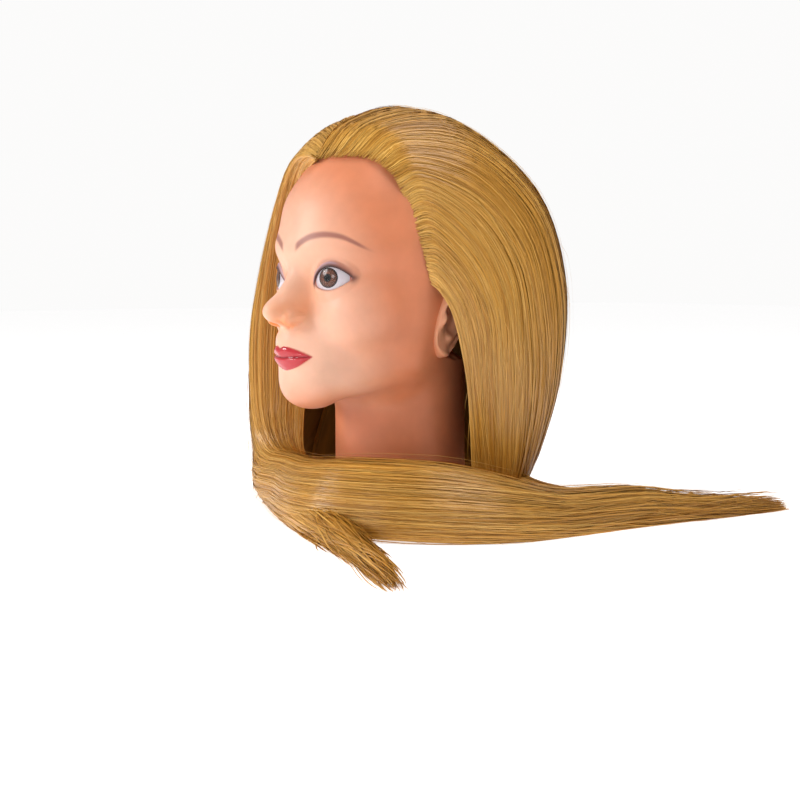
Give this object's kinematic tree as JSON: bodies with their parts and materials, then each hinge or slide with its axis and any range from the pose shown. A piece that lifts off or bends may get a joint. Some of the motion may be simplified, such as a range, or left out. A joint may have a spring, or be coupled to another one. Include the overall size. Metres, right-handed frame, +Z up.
{
  "type": "mannequin training head",
  "caption": "Hairdresser's training head: soft vinyl face and neck over a foam core, acrylic eyes, a clamp socket, and long rooted blonde hair swept onto the table.",
  "frame": {"origin": "middle of the neck's flat bottom, which is the mouth of the clamp socket, on the table", "axes": "+Z up along the neck, face looks along -Y, +X is the head's own left side"},
  "size_m": [0.3337, 0.3948, 0.299],
  "materials": {
    "skin_vinyl": "satin",
    "scalp_vinyl": "matte",
    "foam": "matte",
    "eye_white_acrylic": "gloss",
    "iris_print": "gloss",
    "lens_acrylic": "polished",
    "socket_plastic": "satin",
    "base_plastic": "matte",
    "screw_steel": "satin",
    "hair_fibre": "satin"
  },
  "bodies": {
    "root": {"face_and_neck_skin": "skin_vinyl", "scalp_cap": "scalp_vinyl", "foam_core": "foam", "left_eye_white": "eye_white_acrylic", "right_eye_white": "eye_white_acrylic", "left_eye_iris": "iris_print", "right_eye_iris": "iris_print", "left_eye_lens": "lens_acrylic", "right_eye_lens": "lens_acrylic", "clamp_socket_cup": "socket_plastic", "neck_base_plate": "base_plastic", "base_plate_screws": "screw_steel", "hair_top_section": "hair_fibre", "hair_crown_section": "hair_fibre", "hair_left_side_section": "hair_fibre", "hair_right_side_section": "hair_fibre", "hair_left_back_section": "hair_fibre", "hair_right_back_section": "hair_fibre", "hair_swept_lock": "hair_fibre", "hair_tail_lock": "hair_fibre", "hair_front_lock": "hair_fibre", "hair_gathered_lock": "hair_fibre"}
  },
  "joints": []
}
